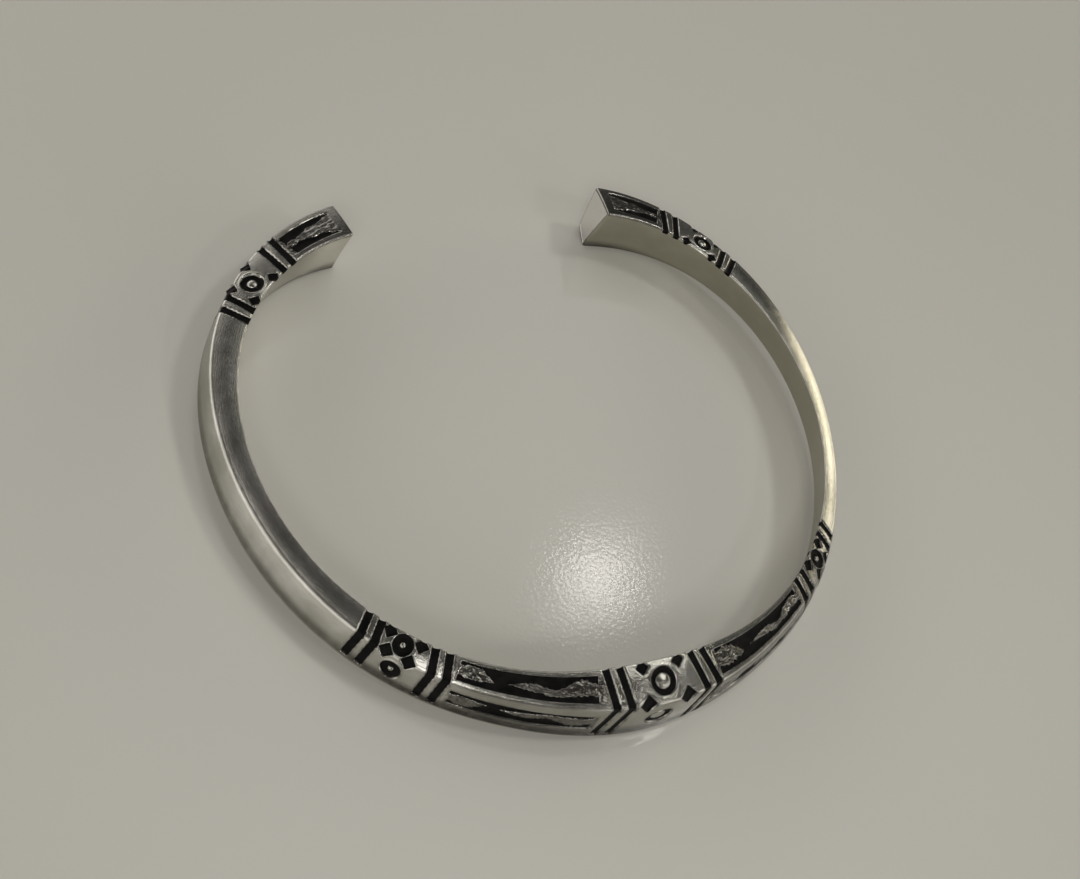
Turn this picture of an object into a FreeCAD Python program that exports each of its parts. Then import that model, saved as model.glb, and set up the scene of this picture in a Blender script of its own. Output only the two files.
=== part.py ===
import FreeCAD, Part
import math
import os

# An open cuff bangle: one solid metal bar bent to a C, lying on its lower edge. Its section has a flat inner
# face, an upper facet and a lower facet that meet at a raised ridge, and a flat foot. The whole section leans
# in at the top. Ring motifs, chevrons and vine panels are cut into both facets, and black enamel lies in each
# recess. The frame has X across the wrist, +Y towards the gap, +Z up, and its origin under the centre.
# A place along the bar is its arc length from the front centre, negative on the -X side, in millimetres.

Vector = FreeCAD.Vector

SIZES = {
    # The bar's plan, as its heading from the front centre to either tip.
    "arm_length": 72.0,
    "total_turn": 172.0,
    "front_flattening": 15.5,
    "flank_rounding": 4.0,
    "tip_easing": 2.4,
    # The section: the lean of the inner face, and the height of the ridge below the top, as a share.
    "lean_angle": 13.0,
    "ridge_share": 0.27,
    "foot_flat": 0.25,
    # The engraving.
    "recess_depth": 0.42,
    "enamel_thickness": 0.24,
    "overcut": 0.3,
    "groove_width": 0.62,
    "groove_spacing": 1.25,
    "ring_radius_front": 1.18,
    "ring_radius_shoulder": 0.86,
    "ring_radius_rear": 1.02,
    "ring_groove_front": 0.42,
    "ring_groove_shoulder": 0.54,
    "ring_groove_rear": 0.5,
    # The notches beside each ring, and the gap along the bar from the ring to them.
    "notch_side": 0.85,
    "notch_gap": 0.55,
    "notch_border": 0.1,
    "ridge_notch_front": 1.15,
    "ridge_notch_shoulder": 0.92,
    "ridge_notch_rear": 0.9,
    "ridge_gap_front": 0.62,
    "ridge_gap_shoulder": 0.12,
    "ridge_gap_rear": 0.2,
    # The motifs: places along the bar, reach from each to its chevron pairs, and how far each chevron slants.
    "front_shift": -0.32,
    "front_reach": 4.08,
    "front_slant": 0.8,
    "front_notch_slant": 0.25,
    "shoulder_motif": 22.0,
    "shoulder_reach": 3.1,
    "shoulder_slant": -0.45,
    "rear_motif": 61.1,
    "rear_reach": 3.35,
    "rear_slant": 0.7,
    # The vine panels.
    "panel_start": 5.7,
    "panel_end": 17.15,
    "end_panel_start": 66.25,
    "end_panel_end": 71.0,
}

# Bar widths, ridge depths and foot depths at these shares of the arm, from the front centre to the tip.
STATION_SHARES = (0.0, 0.2, 0.5, 0.8, 1.0)
BAR_WIDTHS = (7.6, 5.4, 4.5, 4.8, 7.6)
RIDGE_DEPTHS = (3.2, 2.1, 1.5, 2.7, 4.2)
FOOT_DEPTHS = (2.2, 2.0, 2.0, 2.4, 2.6)

PLAN_STEPS = 720
SECTION_COUNT = 73
UPPER, LOWER = "upper", "lower"
SIDES = {"left": -1, "right": 1}

doc = FreeCAD.newDocument("BangleBracelet")
sheet = doc.addObject("Spreadsheet::Sheet", "Sizes")


def fill_sheet():
    rows = list(SIZES.items())
    tables = {"bar_width": BAR_WIDTHS, "ridge_depth": RIDGE_DEPTHS, "foot_depth": FOOT_DEPTHS}
    for name, values in tables.items():
        rows += [(f"{name}_station_{index}", value) for index, value in enumerate(values)]
    for row, (name, value) in enumerate(rows, start=1):
        sheet.set(f"A{row}", name)
        sheet.set(f"B{row}", str(value))
        sheet.setAlias(f"B{row}", name)
    doc.recompute()


def size(name):
    return float(sheet.get(name))


def along_stations(name, place):
    """A smooth curve through the station values of one size, level at the front centre."""
    share = min(abs(place) / size("arm_length"), 1.0)
    values = [size(f"{name}_station_{index}") for index in range(len(STATION_SHARES))]
    last = len(values) - 1
    slopes = [0.0] * len(values)
    for index in range(1, last):
        run = STATION_SHARES[index + 1] - STATION_SHARES[index - 1]
        slopes[index] = (values[index + 1] - values[index - 1]) / run
    slopes[last] = (values[last] - values[last - 1]) / (STATION_SHARES[last] - STATION_SHARES[last - 1])
    index = max(i for i in range(last) if STATION_SHARES[i] <= share)
    run = STATION_SHARES[index + 1] - STATION_SHARES[index]
    t = (share - STATION_SHARES[index]) / run
    return (
        (2 * t**3 - 3 * t**2 + 1) * values[index]
        + (t**3 - 2 * t**2 + t) * run * slopes[index]
        + (3 * t**2 - 2 * t**3) * values[index + 1]
        + (t**3 - t**2) * run * slopes[index + 1]
    )


def heading(place):
    """The angle between the bar and X, in radians."""
    share = place / size("arm_length")
    return math.radians(
        size("total_turn") * share
        - size("front_flattening") * math.sin(math.pi * share)
        + size("flank_rounding") * math.sin(2 * math.pi * share)
        - size("tip_easing") * math.sin(3 * math.pi * share)
    )


def trace_plan():
    """Points of the inner face's middle line in plan, from the front centre to the +X tip."""
    step = size("arm_length") / PLAN_STEPS
    points = [(0.0, 0.0)]
    for index in range(PLAN_STEPS):
        angle = heading((index + 0.5) * step)
        x, y = points[-1]
        points.append((x + step * math.cos(angle), y + step * math.sin(angle)))
    return points


def plan_point(place):
    position = min(abs(place) / size("arm_length"), 1.0) * PLAN_STEPS
    index = min(int(position), PLAN_STEPS - 1)
    part = position - index
    (x0, y0), (x1, y1) = plan[index], plan[index + 1]
    x = x0 + (x1 - x0) * part
    return math.copysign(x, place), y0 + (y1 - y0) * part


def bar_direction(place):
    return Vector(math.cos(heading(place)), math.sin(heading(place)), 0)


def section_point(place, out, up):
    """A point of the leaning section: out from the inner face, and up from its middle."""
    lean = math.radians(size("lean_angle"))
    outward = Vector(math.sin(heading(place)), -math.cos(heading(place)), 0)
    x, y = plan_point(place)
    middle = size("bar_width_station_0") / 2 * math.cos(lean) - size("foot_flat")
    base = Vector(x, y - plan_shift, middle)
    rise = out * math.sin(lean) + up * math.cos(lean)
    return base + outward * (out * math.cos(lean) - up * math.sin(lean)) + Vector(0, 0, rise)


def inner_top(place):
    return section_point(place, 0, along_stations("bar_width", place) / 2)


def inner_bottom(place):
    return section_point(place, 0, -along_stations("bar_width", place) / 2)


def ridge(place):
    up = along_stations("bar_width", place) * (0.5 - size("ridge_share"))
    return section_point(place, along_stations("ridge_depth", place), up)


def foot_edge(place):
    return section_point(place, along_stations("foot_depth", place), -along_stations("bar_width", place) / 2)


def facet_edge(place, facet):
    return inner_top(place) if facet == UPPER else foot_edge(place)


def facet_axes(place, facet, ridge_place=None):
    """Unit vectors along the bar, from the facet's edge to the ridge, and out of the facet."""
    far = ridge(place if ridge_place is None else ridge_place)
    across = (far - facet_edge(place, facet)).normalize()
    along = bar_direction(place) * (-1 if facet == UPPER else 1)
    normal = along.cross(across).normalize()
    return across.cross(normal), across, normal


def facet_point(place, facet, share, lift=0.0):
    """A point on a facet, by its share of the way from the edge to the ridge, lifted along the normal."""
    edge = facet_edge(place, facet)
    normal = facet_axes(place, facet)[2]
    return edge + (ridge(place) - edge) * share + normal * lift


def placed(axes, origin):
    along, across, normal = axes
    return FreeCAD.Placement(origin, FreeCAD.Rotation(along, across, normal, "ZYX"))


def add_box(name, length, width, height, placement):
    """A box whose sizes are numbers or expressions of the sheet."""
    box = doc.addObject("Part::Box", name)
    for side, value in (("Length", length), ("Width", width), ("Height", height)):
        if isinstance(value, str):
            box.setExpression(side, value)
        else:
            setattr(box, side, value)
    box.Placement = placement
    return box


def add_group(name, members, label=None):
    group = doc.addObject("Part::Compound", name)
    group.Links = members
    if label:
        group.Label = label
    return group


RECESS = "Sizes.recess_depth + Sizes.overcut"
ENAMEL = "Sizes.enamel_thickness"
RIDGE_NOTCH_DEPTH = 0.64
NOTCH_ENAMEL = 0.68
RING_SHARES = {UPPER: 0.5, LOWER: 0.56}


def add_groove(name, place, facet, slant):
    """One arm of a chevron: its cutter and its enamel, from the facet's edge to the ridge."""
    axes = facet_axes(place, facet, place + slant)
    along, across, normal = axes
    edge = facet_edge(place, facet)
    length = (ridge(place + slant) - edge).Length
    half = along * (size("groove_width") / 2)
    floor = edge - half - normal * size("recess_depth")
    start = -size("overcut") if facet == UPPER else 2 * size("overcut")
    inset = 2.4 * size("overcut")
    cutter = add_box(name + "_cutter", "Sizes.groove_width", length + size("overcut") - start, RECESS,
                     placed(axes, floor + across * start))
    enamel_length = length - 2 * inset
    enamel = add_box(name + "_enamel", "Sizes.groove_width", enamel_length, ENAMEL,
                     placed(axes, floor + across * inset))
    return cutter, enamel


def add_chevron_pair(name, label, place, slant):
    """Two grooves side by side, each bent over the ridge."""
    cutters, enamels = [], []
    for index, side in enumerate((-0.5, 0.5)):
        at = place + side * size("groove_spacing")
        for facet in (UPPER, LOWER):
            cutter, enamel = add_groove(f"{name}_{index}_{facet}", at, facet, slant)
            cutters.append(cutter)
            enamels.append(enamel)
    add_group(name, enamels, label)
    return cutters


def add_ring(name, place, facet, motif, height, share):
    """A flat ring on a facet, standing on the recess floor."""
    origin = facet_point(place, facet, share, -size("recess_depth"))
    placement = placed(facet_axes(place, facet), origin)
    walls = []
    outer = f"Sizes.ring_radius_{motif}"
    radii = {"outer": outer, "inner": f"{outer} - Sizes.ring_groove_{motif}"}
    for wall, radius in radii.items():
        cylinder = doc.addObject("Part::Cylinder", f"{name}_{wall}")
        cylinder.setExpression("Radius", radius)
        cylinder.setExpression("Height", height)
        cylinder.Placement = placement
        walls.append(cylinder)
    ring = doc.addObject("Part::Cut", name)
    ring.Base, ring.Tool = walls
    return ring


def ridge_axes(place):
    """Unit vectors along the bar, across it, and out along the middle of the ridge's two facets."""
    along = bar_direction(place)
    normal = (facet_axes(place, UPPER)[2] + facet_axes(place, LOWER)[2]).normalize()
    return along, normal.cross(along), normal


def add_notch(name, axes, point, side, depth):
    """A diamond-shaped notch and its enamel."""
    turn = FreeCAD.Placement(Vector(), FreeCAD.Rotation(Vector(0, 0, 1), 45))
    kinds = (
        ("cutter", side, depth + size("overcut")),
        ("enamel", side * NOTCH_ENAMEL, ENAMEL),
    )
    solids = []
    for kind, width, height in kinds:
        corner = FreeCAD.Placement(Vector(-width / 2, -width / 2, 0), FreeCAD.Rotation())
        placement = placed(axes, point - axes[2] * depth).multiply(turn).multiply(corner)
        solids.append(add_box(f"{name}_{kind}", width, width, height, placement))
    return solids


def add_notches(name, place, motif, slant):
    """The four notches of a motif: two beside the upper edge, and two on the ridge."""
    radius, notch = size(f"ring_radius_{motif}"), size("notch_side")
    ridge_notch = size(f"ridge_notch_{motif}")
    pairs = []
    for word, side in SIDES.items():
        at = place + side * (radius + size("notch_gap"))
        axes = facet_axes(at, UPPER)
        point = facet_edge(at, UPPER) + axes[1] * (notch / 2 + size("notch_border"))
        pairs.append(add_notch(f"{name}_notch_upper_{word}", axes, point, notch, size("recess_depth")))
        at = place + side * (radius + size(f"ridge_gap_{motif}")) + slant
        depth = RIDGE_NOTCH_DEPTH * ridge_notch
        pairs.append(add_notch(f"{name}_notch_ridge_{word}", ridge_axes(at), ridge(at), ridge_notch, depth))
    return pairs


def add_ring_motif(name, label, place, motif, slant=0.0):
    """A ring on each facet, with the notches beside it."""
    cutters, enamels = [], []
    for facet, share in RING_SHARES.items():
        cutters.append(add_ring(f"{name}_{facet}_cutter", place, facet, motif, RECESS, share))
        enamels.append(add_ring(f"{name}_{facet}_enamel", place, facet, motif, ENAMEL, share))
    for cutter, enamel in add_notches(name, place, motif, slant):
        cutters.append(cutter)
        enamels.append(enamel)
    add_group(name, enamels, label)
    return cutters


def strip(places, facet, shares, low, high):
    """A solid strip along a facet: shares(place) gives its two borders, low and high its lifts."""
    wires = []
    for place in places:
        first, second = shares(place)
        points = [
            facet_point(place, facet, first, low),
            facet_point(place, facet, second, low),
            facet_point(place, facet, second, high),
            facet_point(place, facet, first, high),
        ]
        wires.append(Part.makePolygon(points + points[:1]))
    return Part.makeLoft(wires, True, True)


def spread(start, end, count):
    return [start + (end - start) * index / count for index in range(count + 1)]


# The borders of a panel's recess on each facet, as shares of the way from the edge to the ridge.
PANEL_BORDERS = {UPPER: (0.19, 0.82), LOWER: (0.36, 0.76)}

# The long panel's vine, in shares of the panel's length from its +X end and of the recess's height. Each leaf
# has a start, an end and its half height, and black ground fills the break between the last two.
LEAVES = ((-0.12, 0.34, 0.30), (0.14, 0.66, 0.19), (0.73, 1.08, 0.37))
VINE_BREAK = (0.66, 0.73)
VINE_TIP = 0.025
WAVE_LENGTH = 0.42


def vine_half(t):
    halves = [VINE_TIP]
    for start, end, half in LEAVES:
        if start < t < end:
            halves.append(half * math.sin(math.pi * (t - start) / (end - start)) ** 0.8)
    return max(halves)


def vine_centre(t):
    """The vine swings widely at first, then lies nearly straight, and rises past its break."""
    if t > VINE_BREAK[1] - 1e-6:
        rise = min(1.0, (t - VINE_BREAK[1]) / 0.13)
        return 0.63 - 0.2 * rise**2 * (3 - 2 * rise)
    swing = 0.13 if t < WAVE_LENGTH else 0.04
    return 0.55 - swing * math.sin(2 * math.pi * t / WAVE_LENGTH)


def long_panel_strips(side, facet, low, high):
    """Black ground beside a wavy vine of three leaves, which runs the same way along X on both sides."""
    ends = sorted((side * size("panel_start"), side * size("panel_end")), reverse=True)
    length = ends[0] - ends[1]
    edge, inner = PANEL_BORDERS[facet]

    def spots(first, last, count):
        return [ends[0] - length * t for t in spread(first, last, count)]

    def vine(place):
        t = (ends[0] - place) / length
        centre, half = vine_centre(t), vine_half(t)
        return edge + (inner - edge) * (centre - half), edge + (inner - edge) * (centre + half)

    strips = []
    for places in (spots(0.0, VINE_BREAK[0], 14), spots(VINE_BREAK[1], 1.0, 7)):
        strips.append(strip(places, facet, lambda place: (edge, vine(place)[0]), low, high))
        strips.append(strip(places, facet, lambda place: (vine(place)[1], inner), low, high))
    strips.append(strip(spots(*VINE_BREAK, 2), facet, lambda place: (edge, inner), low, high))
    return strips


def end_panel_strips(side, facet, low, high):
    """Two black wedges beside a vine that flares out to the bar's plain end."""
    start, end = side * size("end_panel_start"), side * size("end_panel_end")
    edge, inner = PANEL_BORDERS[facet]
    middle = (edge + inner) / 2

    def vine(place):
        t = (place - start) / (end - start)
        half = (inner - edge) * (0.1 + 0.34 * t**1.6 + 0.03 * math.sin(5 * math.pi * t))
        return middle - half, middle + half

    places = spread(start, end, 12)
    return [
        strip(places, facet, lambda place: (edge, vine(place)[0]), low, high),
        strip(places, facet, lambda place: (vine(place)[1], inner), low, high),
    ]


def add_panel(name, label, strips_of, side, facet):
    """A panel's black ground on one facet: its cutter, and its enamel as a node of its own."""
    floor = -size("recess_depth")
    shapes = {
        name + "_cutter": strips_of(side, facet, floor, size("overcut")),
        name: strips_of(side, facet, floor, floor + size("enamel_thickness")),
    }
    made = []
    for feature_name, strips in shapes.items():
        feature = doc.addObject("Part::Feature", feature_name)
        feature.Shape = strips[0].multiFuse(strips[1:])
        feature.Placement = FreeCAD.Placement()
        made.append(feature)
    made[1].Label = label
    return made[:1]


def add_blank():
    """The bar before it is engraved: a loft through its sections, from tip to tip."""
    reach = size("arm_length")
    wires = []
    for place in spread(-reach, reach, SECTION_COUNT - 1):
        points = [inner_bottom(place), inner_top(place), ridge(place), foot_edge(place)]
        wires.append(Part.makePolygon(points + points[:1]))
    blank = doc.addObject("Part::Feature", "bar_blank")
    blank.Shape = Part.makeLoft(wires, True, False)
    blank.Placement = FreeCAD.Placement()
    return blank


def add_floor_cutter():
    """What lies below the worn flats that the bangle rests on."""
    reach = size("arm_length")
    placement = FreeCAD.Placement(Vector(-reach, -reach, -reach), FreeCAD.Rotation())
    return add_box("floor_cutter", 2 * reach, 2 * reach, reach, placement)


def add_front_motif():
    """The motif at the front centre. Both of its chevron pairs slant the same way, and so do its notches."""
    slant = size("front_notch_slant")
    cutters = add_ring_motif("ring_front", "ring_enamel_front", 0.0, "front", slant)
    for word, side in SIDES.items():
        place = size("front_shift") + side * size("front_reach")
        cutters += add_chevron_pair(f"chevron_front_{word}", f"chevron_enamel_front_{word}", place,
                                    size("front_slant"))
    return cutters


def add_side_motif(name, word):
    """The motif at one shoulder, or near one tip."""
    side = SIDES[word]
    middle, reach = size(f"{name}_motif"), size(f"{name}_reach")
    cutters = add_ring_motif(f"ring_{name}_{word}", f"ring_enamel_{name}_{word}", side * middle, name)
    for end, place in (("front", middle - reach), ("back", middle + reach)):
        label = f"{name}_{word}_{end}"
        cutters += add_chevron_pair(f"chevron_{label}", f"chevron_enamel_{label}", side * place,
                                    side * size(f"{name}_slant"))
    return cutters


def add_engraving():
    """Every recess's cutter; the enamel nodes are made beside them."""
    cutters = add_front_motif()
    for name in ("shoulder", "rear"):
        for word in SIDES:
            cutters += add_side_motif(name, word)
    panels = (("vine_panel", long_panel_strips), ("end_panel", end_panel_strips))
    for name, strips_of in panels:
        for word, side in SIDES.items():
            for facet in (UPPER, LOWER):
                label = f"{name}_enamel_{word}_{facet}"
                cutters += add_panel(f"{name}_{word}_{facet}", label, strips_of, side, facet)
    return cutters


def check_and_write():
    for item in doc.Objects:
        if "Invalid" in item.State or "Error" in item.State:
            raise RuntimeError(f"{item.Name} did not compute: {item.State}")
    os.makedirs("parts", exist_ok=True)
    nodes = [item for item in doc.Objects if item.Label == "cuff_band" or "_enamel_" in item.Label and
             item.Label != item.Name]
    for node in nodes:
        if node.Shape.isNull() or not node.Shape.isValid():
            raise RuntimeError(f"{node.Label} has no valid shape")
        node.Shape.exportStep(f"parts/{node.Label}.step")
        print(node.Label, len(node.Shape.Solids), round(node.Shape.Volume, 3))


fill_sheet()
plan = trace_plan()
plan_shift = 0.0
reach_places = spread(0.0, size("arm_length"), PLAN_STEPS)
corners = (inner_top, inner_bottom, ridge, foot_edge)
edge_points = [corner(place) for place in reach_places for corner in corners]
plan_shift = (min(point.y for point in edge_points) + max(point.y for point in edge_points)) / 2

blank = add_blank()
cutters = add_engraving() + [add_floor_cutter()]
band = doc.addObject("Part::Cut", "engraved_bar")
band.Base = blank
band.Tool = add_group("all_cutters", cutters)
band.Label = "cuff_band"
doc.recompute()
check_and_write()
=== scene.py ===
import math

import bmesh
import bpy
import numpy as np
from mathutils import Matrix, Vector


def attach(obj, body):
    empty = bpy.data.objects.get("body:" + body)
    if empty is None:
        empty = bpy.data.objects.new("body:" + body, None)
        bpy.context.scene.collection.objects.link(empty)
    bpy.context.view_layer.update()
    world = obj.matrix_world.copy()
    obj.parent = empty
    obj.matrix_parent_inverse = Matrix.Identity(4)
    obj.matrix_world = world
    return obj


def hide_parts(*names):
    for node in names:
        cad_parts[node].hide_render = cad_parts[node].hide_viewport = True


# A silver cuff bangle with black enamel in its engraving. The band and each enamel fill are built here as
# fine meshes from the same sizes as the CAD part. Lengths are in millimetres until a mesh is made.
# A place is an arc length along the bar from the front centre, negative on the -X side.

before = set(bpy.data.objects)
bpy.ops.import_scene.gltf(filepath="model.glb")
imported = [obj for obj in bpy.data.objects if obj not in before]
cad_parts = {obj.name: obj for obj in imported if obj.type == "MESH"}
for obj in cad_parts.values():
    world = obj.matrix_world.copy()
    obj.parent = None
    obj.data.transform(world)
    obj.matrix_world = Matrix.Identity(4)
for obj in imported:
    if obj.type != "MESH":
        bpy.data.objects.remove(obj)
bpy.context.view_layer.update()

MM = 0.001

# The bar: the length of one arm, the lean of its section, the ridge's height above the section's middle as a
# share of the width, how much is cut flat at the foot, and the widths and depths at stations along the arm.
ARM = 72.0
LEAN = math.radians(13.0)
RIDGE_UP = 0.5 - 0.27
FOOT_FLAT = 0.25
STATION_SHARES = np.array((0.0, 0.2, 0.5, 0.8, 1.0))
BAR_WIDTHS = np.array((7.6, 5.4, 4.5, 4.8, 7.6))
RIDGE_DEPTHS = np.array((3.2, 2.1, 1.5, 2.7, 4.2))
FOOT_DEPTHS = np.array((2.2, 2.0, 2.0, 2.4, 2.6))

# The engraving. WALL is how wide a recess's soft wall is, LAP and MARGIN are how far enamel goes into metal,
# and ENAMEL_BASE is the height of its underside.
DEPTH = 0.42
ENAMEL = 0.24
GROOVE = 0.62
SPACING = 1.25
NOTCH = 0.85
NOTCH_GAP = 0.55
NOTCH_BORDER = 0.1
RIDGE_NOTCH_DEPTH = 0.64
OVERCUT = 0.3
WALL = 0.11
LAP = 0.02
ENAMEL_BASE = -0.03
MARGIN = 0.03

# A ring's dome, and the fine raised rim around its groove.
DOME_FALL = 0.16
RIM_HEIGHT = 0.045
RIM_GAP = 0.13
RIM_WIDTH = 0.07

# Where the motifs and panels lie. Shares go from a facet's edge to the ridge.
UPPER, LOWER = "upper", "lower"
SIDES = {"left": -1, "right": 1}
RING_SHARES = {UPPER: 0.5, LOWER: 0.56}
PANEL_BORDERS = {UPPER: (0.19, 0.82), LOWER: (0.36, 0.76)}
PANELS = {"long": (5.7, 17.15), "end": (66.25, 71.0)}

# The long vine, in shares of its panel: where each leaf starts and ends, and half its height.
LEAVES = ((-0.12, 0.34, 0.30), (0.14, 0.66, 0.19), (0.73, 1.08, 0.37))
VINE_BREAK = (0.66, 0.73)
VINE_TIP = 0.025
WAVE_LENGTH = 0.42

# Where the end faces lie in the bar_place attribute, far from the bar's own places.
END_SPOT = np.array((200.0, 50.0, 0.0))

# Each kind of ring motif: the ring's radius and groove, and its ridge notches' side and gap.
RINGS = {
    "front": (1.18, 0.42, 1.15, 0.62),
    "shoulder": (0.86, 0.54, 0.92, 0.12),
    "rear": (1.02, 0.5, 0.9, 0.2),
}
# Ring motifs: name, kind, place, slant of the ridge notches. Chevron pairs: name, place, slant.
MOTIFS = [("front", "front", 0.0, 0.25)]
CHEVRONS = []
for word, side in SIDES.items():
    CHEVRONS.append((f"front_{word}", -0.32 + side * 4.08, 0.8))
    for kind, middle, reach, slant in (("shoulder", 22.0, 3.1, -0.45), ("rear", 61.1, 3.35, 0.7)):
        MOTIFS.append((f"{kind}_{word}", kind, side * middle, 0.0))
        for end, place in (("front", middle - reach), ("back", middle + reach)):
            CHEVRONS.append((f"{kind}_{word}_{end}", side * place, side * slant))


# ---------------------------------------------------------------- the bar's curves


def unit(vectors):
    """The vectors at length one."""
    return vectors / np.linalg.norm(vectors, axis=-1, keepdims=True)


def fade(value, start, end):
    """Zero at start and one at end, in a straight line between them, and level outside."""
    return np.clip((value - start) / (end - start), 0, 1)


def along_stations(values, place):
    """A smooth curve through the station values, level at the front centre."""
    share = np.minimum(np.abs(np.asarray(place, float)) / ARM, 1.0)
    slopes = np.zeros(len(values))
    slopes[1:-1] = (values[2:] - values[:-2]) / (STATION_SHARES[2:] - STATION_SHARES[:-2])
    slopes[-1] = (values[-1] - values[-2]) / (STATION_SHARES[-1] - STATION_SHARES[-2])
    index = np.clip(np.searchsorted(STATION_SHARES, share, side="right") - 1, 0, len(values) - 2)
    run = STATION_SHARES[index + 1] - STATION_SHARES[index]
    t = (share - STATION_SHARES[index]) / run
    return (
        (2 * t**3 - 3 * t**2 + 1) * values[index]
        + (t**3 - 2 * t**2 + t) * run * slopes[index]
        + (3 * t**2 - 2 * t**3) * values[index + 1]
        + (t**3 - t**2) * run * slopes[index + 1]
    )


def heading(place):
    """The angle between the bar and X, in radians."""
    share = np.asarray(place, float) / ARM
    return np.radians(
        172.0 * share
        - 15.5 * np.sin(np.pi * share)
        + 4.0 * np.sin(2 * np.pi * share)
        - 2.4 * np.sin(3 * np.pi * share)
    )


PLAN_PLACES = np.linspace(0.0, ARM, 721)
steps = heading((PLAN_PLACES[1:] + PLAN_PLACES[:-1]) / 2)
PLAN_X = np.concatenate(([0.0], np.cumsum(np.cos(steps)))) * ARM / 720
PLAN_Y = np.concatenate(([0.0], np.cumsum(np.sin(steps)))) * ARM / 720
plan_shift = 0.0


def section_axes(place):
    """The section's out and up directions, from the inner face and along it."""
    angle = heading(place)
    outward = np.stack((np.sin(angle), -np.cos(angle), np.zeros_like(angle)), -1)
    rise = np.array((0.0, 0.0, 1.0))
    out = outward * math.cos(LEAN) + rise * math.sin(LEAN)
    up = rise * math.cos(LEAN) - outward * math.sin(LEAN)
    return out, up


def section_point(place, out, up):
    """A point of the leaning section: out from the inner face, and up from its middle."""
    place = np.asarray(place, float)
    x = np.sign(place) * np.interp(np.abs(place), PLAN_PLACES, PLAN_X)
    y = np.interp(np.abs(place), PLAN_PLACES, PLAN_Y) - plan_shift
    z = np.full_like(x, BAR_WIDTHS[0] / 2 * math.cos(LEAN) - FOOT_FLAT)
    out_axis, up_axis = section_axes(place)
    middle = np.stack((x, y, z), -1)
    return middle + out_axis * np.asarray(out)[..., None] + up_axis * np.asarray(up)[..., None]


def section_corners(place):
    """The section's four corners as (out, up) pairs: inner bottom, inner top, ridge, foot edge."""
    width = along_stations(BAR_WIDTHS, place)
    nothing = np.zeros_like(width)
    return (
        np.stack((nothing, -width / 2), -1),
        np.stack((nothing, width / 2), -1),
        np.stack((along_stations(RIDGE_DEPTHS, place), width * RIDGE_UP), -1),
        np.stack((along_stations(FOOT_DEPTHS, place), -width / 2), -1),
    )


def corner_point(place, index):
    pair = section_corners(np.asarray(place, float))[index]
    return section_point(place, pair[..., 0], pair[..., 1])


def ridge(place):
    return corner_point(place, 2)


def facet_edge(place, facet):
    return corner_point(place, 1 if facet == UPPER else 3)


# The plan is moved along Y so that the bar's box is centred on the origin.
corners_y = np.concatenate([corner_point(PLAN_PLACES, index)[:, 1] for index in range(4)])
plan_shift = (corners_y.min() + corners_y.max()) / 2


def facet_axes(place, facet, far_place=None):
    """Unit vectors along the bar, from the facet's edge to the ridge, and out of the facet."""
    across = unit(ridge(place if far_place is None else far_place) - facet_edge(place, facet))
    angle = heading(place)
    along = np.stack((np.cos(angle), np.sin(angle), np.zeros_like(angle)), -1)
    normal = unit(np.cross(along * (-1 if facet == UPPER else 1), across))
    return np.cross(across, normal), across, normal


def facet_height(place, facet):
    return np.linalg.norm(ridge(place) - facet_edge(place, facet), axis=-1)


# ---------------------------------------------------------------- the engraving


def noise(x, y, seed):
    """Smooth random values from 0 to 1 over a plane, one lattice step per unit."""
    lattice = np.random.default_rng(seed).random((64, 64))
    x, y = np.broadcast_arrays(np.asarray(x, float), np.asarray(y, float))
    column, row = np.floor(x).astype(int), np.floor(y).astype(int)
    u, v = x - column, y - row
    u, v = u * u * (3 - 2 * u), v * v * (3 - 2 * v)
    first = lattice[column % 64, row % 64] * (1 - u) + lattice[(column + 1) % 64, row % 64] * u
    second = lattice[column % 64, (row + 1) % 64] * (1 - u) + lattice[(column + 1) % 64, (row + 1) % 64] * u
    return first * (1 - v) + second * v


def vine(panel, place):
    """The vine's middle and half height at places of a panel, as shares of the recess's height."""
    start, end = PANELS[panel]
    ragged = noise(place * 4.5, 0.5, 3) - 0.5 + 0.6 * (noise(place * 11.0, 7.5, 4) - 0.5)
    if panel == "end":
        t = (np.abs(place) - start) / (end - start)
        half = 0.1 + 0.34 * np.clip(t, 0, 1) ** 1.6 + 0.03 * np.sin(5 * np.pi * t)
        return np.full_like(t, 0.5), half + 0.1 * ragged
    t = np.where(place < 0, -start - place, end - place) / (end - start)
    half = np.full_like(t, VINE_TIP)
    for first, last, height in LEAVES:
        u = np.clip((t - first) / (last - first), 0, 1)
        half = np.maximum(half, height * np.sin(np.pi * u) ** 0.8)
    half = half + ragged * (0.07 + 0.35 * half)
    swing = np.where(t < WAVE_LENGTH, 0.13, 0.04)
    rise = np.clip((t - VINE_BREAK[1]) / 0.13, 0, 1)
    bent = 0.55 - swing * np.sin(2 * np.pi * t / WAVE_LENGTH)
    risen = 0.63 - 0.2 * rise**2 * (3 - 2 * rise)
    middle = np.where(t < VINE_BREAK[1], bent, risen)
    inside = (t > VINE_BREAK[0]) & (t < VINE_BREAK[1])
    return middle, np.where(inside, -0.02, half)


def panel_distance(panel, place, share, height, facet):
    """Signed distance to the panel's black ground, negative inside it."""
    start, end = PANELS[panel]
    low, high = PANEL_BORDERS[facet]
    middle, half = vine(panel, place)
    within = (share - low) / (high - low)
    span = (high - low) * height
    border = np.maximum(low - share, share - high) * height
    ends = np.maximum(start - np.abs(place), np.abs(place) - end)
    leaf = (half - np.abs(within - middle)) * span
    return np.maximum(np.maximum(border, ends), leaf)


def groove_distance(length, facet):
    first = -OVERCUT if facet == UPPER else 2 * OVERCUT
    return lambda x, y: np.maximum(np.abs(x) - GROOVE / 2, np.maximum(first - y, y - length - OVERCUT))


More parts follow.
